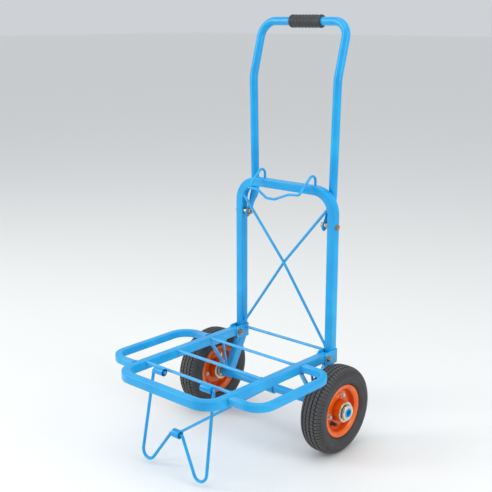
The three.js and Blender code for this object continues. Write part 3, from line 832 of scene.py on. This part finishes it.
def handle_grip():
    """Push-on grip with zigzag ridges round it between two plain ends."""
    ridges, pitch = 7, 9.5
    first = -pitch * (ridges - 1) / 2
    bore = HANDLE_R + 0.1
    end = [(GRIP_HALF - 6.5, 13.5), (GRIP_HALF - 5.5, GRIP_R), (GRIP_HALF - 3.0, GRIP_R),
           (GRIP_HALF - 1.2, 14.2), (GRIP_HALF, 12.6), (GRIP_HALF, bore)]
    profile = [(-a, r) for a, r in end[::-1]]
    for i in range(ridges):
        x = first + i * pitch
        profile += [(x - 3.4, 13.4), (x - 2.4, 14.2), (x, 14.55), (x + 2.4, 14.2),
                    (x + 3.4, 13.4)]
    profile += end
    columns = 48
    grip = lathe("grip", profile, GRIP_X, *HANDLE_TOP, steps=columns)
    axis = at(GRIP_X, *HANDLE_TOP)
    choose(grip)
    bpy.ops.object.mode_set(mode="EDIT")
    waves = 4
    for column in range(columns):
        turn = column * 2 * math.pi / columns
        phase = column * waves / columns % 1.0
        shift = 3.2 * (1 - abs(2 * phase - 1) * 2)
        toward = Vector((0, math.sin(turn), math.cos(turn)))
        select_where(grip, "VERT", lambda co: abs(co.x - axis.x) < 32.5 * MM and
                     Vector((0, co.y - axis.y, co.z - axis.z)).normalized().dot(toward) > 0.999)
        bpy.ops.transform.translate(value=(shift * MM, 0, 0))
    bpy.ops.object.mode_set(mode="OBJECT")
    close_up(grip, 50)
    return finished(grip, "handle_grip", "soft_rubber", "handle")


def handle_spacer(side, name):
    """Short tube on the bolt between the handle's ear and the upright."""
    spacer = ring("spacer", side * (EAR_X + 2.8), side * (inner_x - 0.3), 4.4, 7.5,
                  0, HANDLE_PIVOT_Z, steps=32)
    finished(spacer, "handle_spacer_" + name, "zinc_plate", "frame", YELLOW_ZINC)


# ---- wheels, modelled at the right side and mirrored for the left ----
# Half of the tyre's section: (distance from its middle plane, radius).
TREAD = [(0, 99.9), (3.0, 99.9), (3.6, 97.8), (6.0, 97.7), (6.6, 99.7), (9.6, 99.5),
         (12.8, 99.1), (13.4, 97.0), (15.6, 96.7), (16.2, 98.2), (19.4, 96.6), (22.4, 94.5),
         (25.2, 91.2), (27.0, 87.6), (27.6, 85.2), (28.4, 83.6), (28.9, 80.4), (29.3, 79.8),
         (29.3, 78.8), (28.9, 78.2), (28.6, 74.0), (27.4, 69.0), (27.5, 68.0), (27.1, 67.4),
         (24.6, 63.6), (20.4, 61.1), (18.8, 60.6), (16.6, 55.0), (13.0, 52.4), (6.0, 52.2),
         (7.0, 54.6), (14.6, 63.9), (22.6, 75.2), (18.0, 88.6), (0, 93.4)]


def tyre():
    """One lug's width of the tyre is spun from its section, the sipes and the gaps between
    lugs are sunk into it, and copies of it close the ring."""
    outside = TREAD[::-1]
    profile = outside[:-1] + [(-a, r) for a, r in TREAD][:-1]
    rows = 8
    pitch = 360.0 / LUGS
    sector = lathe("tyre", profile, 0, 0, 0, steps=rows, angle=pitch, finish=False)
    centre = at(0, 0, 0)

    def place_of(co):
        """(distance along the axle, radius, share of the lug's width)."""
        flat = co - centre
        turn = math.degrees(math.atan2(-flat.y, flat.z))
        return (flat.x / MM, math.hypot(flat.y, flat.z) / MM, abs(turn) / pitch)
    choose(sector)
    bpy.ops.object.mode_set(mode="EDIT")
    bpy.ops.mesh.select_all(action="SELECT")
    bpy.ops.mesh.normals_make_consistent(inside=False)

    def shoulder_gap(co, normal):
        a, r, share = place_of(co)
        return 16.4 < abs(a) < 26.6 and r > 88.4 and 0.37 < share < 0.63
    select_where(sector, "FACE", shoulder_gap)
    bpy.ops.mesh.extrude_region_shrink_fatten(
        TRANSFORM_OT_shrink_fatten={"value": -1.9 * MM})

    def sipe(co, normal):
        a, r, share = place_of(co)
        return 6.8 < abs(a) < 12.6 and r > 98.9 and 0.74 < share < 0.88
    select_where(sector, "FACE", sipe)
    bpy.ops.mesh.extrude_region_shrink_fatten(
        TRANSFORM_OT_shrink_fatten={"value": -1.2 * MM})
    # The ribs wave a little from side to side.
    for row in range(1, rows):
        share = row / rows
        shift = 0.9 * math.sin(2 * math.pi * share)

        def on_row(co):
            a, r, here = place_of(co)
            return abs(a) < 13.0 and r > 95.5 and abs(here - share) < 0.02
        select_where(sector, "VERT", on_row)
        bpy.ops.transform.translate(value=(shift * MM, 0, 0))
    bpy.ops.object.mode_set(mode="OBJECT")
    turned = bpy.data.objects.new("lug_turn", None)
    bpy.context.scene.collection.objects.link(turned)
    step = math.radians(pitch) * (1 if spin_sign(sector, centre) else -1)
    turned.matrix_world = (Matrix.Translation(centre) @ Matrix.Rotation(step, 4, "X")
                           @ Matrix.Translation(-centre))
    bpy.context.view_layer.update()
    modify(sector, "ARRAY", count=LUGS, use_relative_offset=False, use_object_offset=True,
           offset_object=turned, use_merge_vertices=True, use_merge_vertices_cap=True,
           merge_threshold=2e-5)
    bpy.data.objects.remove(turned)
    choose(sector)
    bpy.ops.object.mode_set(mode="EDIT")
    bpy.ops.mesh.select_all(action="SELECT")
    bpy.ops.mesh.remove_doubles(threshold=2e-5)
    bpy.ops.transform.translate(value=at(WHEEL_X, *AXLE) - centre)
    bpy.ops.object.mode_set(mode="OBJECT")
    return close_up(sector, 32)


def spin_sign(obj, centre):
    """True if the sector leans towards the positive turn about X."""
    middle = sum((v.co for v in obj.data.vertices), Vector()) / len(obj.data.vertices)
    return (middle - centre).y < 0


def rim_bolt_place(angle, radius=RIM_BOLT_R):
    return (AXLE[0] + radius * math.cos(math.radians(angle)),
            AXLE[1] + radius * math.sin(math.radians(angle)))


def rim_half(outboard):
    """One pressed half of the split rim: rolled lip, bead seat, dished wall and flat disc
    with a raised pad round each bolt. outboard is 1 for the half away from the cart."""
    section = [(0.3, 50), (15.6, 51.4), (18.4, 54.0), (19.6, 58.6), (20.0, 60.2), (21.2, 60.6),
               (21.8, 59.6), (21.2, 56.0), (20.4, 52.4), (17.4, 48.6), (12.0, 47.4),
               (6.2, 46.2), (5.6, 44.4), (8.4, 38.6), (9.6, 37.2), (9.6, 24.0), (7.8, 24.0),
               (7.8, 36.4), (0.3, 45.4)]
    rim = lathe("rim", [(outboard * a, r) for a, r in section], WHEEL_X, *AXLE, steps=96,
                rounding=0.5)
    pads = []
    for angle in RIM_BOLT_ANGLES:
        pads.append(lathe("pad", [
            (outboard * 8.8, 13.4), (outboard * 9.75, 12.2), (outboard * 10.3, 9.6),
            (outboard * 10.3, 3.4), (outboard * 8.8, 3.4)], WHEEL_X, *rim_bolt_place(angle),
            steps=40, rounding=0.3))
    return join("rim", [rim] + pads)


def rim_bolt(angle):
    y, z = rim_bolt_place(angle)
    head = hexagon("head", WHEEL_X + 10.9, WHEEL_X + 14.9, 5.6, y, z)
    washer = ring("washer", WHEEL_X + 10.2, WHEEL_X + 11.2, 3.1, 7.0, y, z, 32, 0.25)
    shank = sweep("shank", ("round", 3.0, 16),
                  [(WHEEL_X + 16.6, y, z), (WHEEL_X - 16.4, y, z)], [])
    nut = hexagon("nut", WHEEL_X - 10.2, WHEEL_X - 14.4, 5.8, y, z)
    return join("rim_bolt", [head, washer, shank, nut])


def hub():
    """Pressed hub shell with rolled ends and a flange ring against each rim disc."""
    return lathe("hub", [
        (-30, 17.8), (-29.2, 20.6), (-30, 22.6), (-28.6, 23.4), (-10.6, 23.4), (-9.4, 23.2),
        (9.4, 23.2), (10.6, 23.4), (28.6, 23.4), (30, 22.6), (29.2, 20.6), (30, 17.8),
        (28.0, 17.6), (-28.0, 17.6)], WHEEL_X, *AXLE, steps=72, rounding=0.4)


def enamel_barrel(shell):
    """The hub is enamelled with the rim between its two plated ends."""
    shell.data.materials.append(FINISHES["orange_paint"])
    for face in shell.data.polygons:
        if abs(abs(face.center.x) - WHEEL_X * MM) < HUB_ENAMEL_HALF * MM:
            face.material_index = 1


def rubber_seal(race):
    """The dished ring between a bearing's races is a rubber seal."""
    race.data.materials.append(FINISHES["soft_rubber"])
    axle = at(0, *AXLE)
    for face in race.data.polygons:
        radius = math.hypot(face.center.y - axle.y, face.center.z - axle.z)
        if 12.0 * MM < radius < 15.3 * MM:
            face.material_index = 1


def bearing(end):
    """Ball bearing seen from its end: outer race, dished rubber seal and inner race."""
    return lathe("bearing", [
        (end * 15, 10.1), (end * 27, 10.1), (end * 27, 11.9), (end * 26.2, 12.2),
        (end * 26.2, 15.2), (end * 27, 15.5), (end * 27, 17.3), (end * 15, 17.3)],
        WHEEL_X, *AXLE, steps=56, rounding=0.25)


def valve_stem():
    """Rubber-covered stem with a knurled cap."""
    y, z = rim_bolt_place(VALVE_ANGLE, VALVE_R)
    stem = lathe("stem", [(1, 0.05), (1, 3.0), (10, 3.2), (10.4, 5.2), (11.8, 5.0),
                          (13.6, 3.6), (15.4, 3.1), (15.4, 4.0), (16.2, 4.2), (23.8, 4.1),
                          (24.9, 3.2), (25.0, 0.05)], WHEEL_X, y, z, steps=36,
                 closed=False)
    choose(stem)
    bpy.ops.object.mode_set(mode="EDIT")
    axis = at(WHEEL_X, y, z)

    def knurl(co, normal):
        turn = math.degrees(math.atan2(co.y - axis.y, co.z - axis.z)) % 20
        return (WHEEL_X + 16.3) * MM < co.x < (WHEEL_X + 23.7) * MM and turn < 10
    select_where(stem, "FACE", knurl)
    bpy.ops.mesh.extrude_region_shrink_fatten(TRANSFORM_OT_shrink_fatten={"value": -0.35 * MM})
    bpy.ops.object.mode_set(mode="OBJECT")
    return close_up(stem, 35)


def wheels():
    made = {"tyre": (tyre(), "tyre_rubber"), "rim_outer": (rim_half(1), "orange_paint"),
            "rim_inner": (rim_half(-1), "orange_paint"), "hub": (hub(), "zinc_plate"),
            "bearing_outer": (bearing(1), "zinc_plate"),
            "bearing_inner": (bearing(-1), "zinc_plate"),
            "valve_stem": (valve_stem(), "soft_rubber")}
    for number, angle in enumerate(RIM_BOLT_ANGLES, 1):
        made[f"rim_bolt_{number}"] = (rim_bolt(angle), "zinc_plate")
    for piece_name, (piece, slot) in made.items():
        left = mirror_copy(piece, piece_name)
        finished(left, piece_name + "_left", slot, "wheel_left")
        finished(piece, piece_name + "_right", slot, "wheel_right")
        if piece_name == "hub":
            enamel_barrel(left)
            enamel_barrel(piece)
        elif piece_name.startswith("bearing"):
            rubber_seal(left)
            rubber_seal(piece)


upright_frame()
cross_brace()
lower_cross_rod()
wire_catch()
for side_sign, side_name in SIDES:
    hinge_bracket(side_sign, side_name)
    bolt_and_nut("hinge", side_sign, side_name, *PIN, HALF_WIDTH + 13.6,
                 HALF_WIDTH - 13.6, HALF_WIDTH - 14)
    bolt_and_nut("handle", side_sign, side_name, 0, HANDLE_PIVOT_Z, HALF_WIDTH + 10.3,
                 EAR_X - 2.8, EAR_X - 8.5)
    handle_spacer(side_sign, side_name)
    platform_rest(side_sign, side_name)
    side_wing(side_sign, side_name)
axle_pieces()
platform_frame()
cross_rods()
leg_sleeves()
front_leg()
leg_link()
handle_tube()
handle_grip()
wheels()

# ---- stage: floor, light, camera ----
clear_selection()
bpy.ops.mesh.primitive_plane_add(size=80, location=(0, 0, -0.0005))
floor = bpy.context.object
floor.name = "floor"
floor_material, floor_tree = new_material("pale_studio_floor")[:2]
finish_material(floor_tree, add(floor_tree, "ShaderNodeBsdfPrincipled", {
    "Base Color": linear(0xF7F7F5), "Roughness": 0.65}))
floor.data.materials.append(floor_material)

scene = bpy.context.scene
scene.view_settings.view_transform = "Standard"
world = bpy.data.worlds.new("studio")
world.use_nodes = True
world.node_tree.nodes["Background"].inputs["Color"].default_value = linear(0xE6EAEE)
world.node_tree.nodes["Background"].inputs["Strength"].default_value = 0.78
scene.world = world


def softbox(name, place, target, size, watts):
    light = bpy.data.lights.new(name, "AREA")
    light.shape = "RECTANGLE"
    light.size, light.size_y = size
    light.energy = watts
    lamp = bpy.data.objects.new(name, light)
    lamp.location = place
    lamp.rotation_euler = (Vector(target) - Vector(place)).to_track_quat("-Z", "Y").to_euler()
    scene.collection.objects.link(lamp)


MIDDLE = (0, 0, 0.45)
softbox("left_box", (-2.2, -2.0, 1.7), MIDDLE, (0.9, 2.2), 38)
softbox("right_box", (2.6, 0.3, 1.6), MIDDLE, (0.9, 2.2), 26)
softbox("top_box", (0.2, -0.4, 3.0), MIDDLE, (2.2, 2.2), 22)

camera_data = bpy.data.cameras.new("camera")
camera_data.sensor_width = 36.0
camera_data.lens = 66.26
camera_data.clip_start = 0.05
camera = bpy.data.objects.new("camera", camera_data)
camera.location = (1.2875, -1.4054, 0.9461)
aim = Vector((-0.1220, 0.16675, 0.4119)) - camera.location
camera.rotation_euler = aim.to_track_quat("-Z", "Y").to_euler()
scene.collection.objects.link(camera)
scene.camera = camera
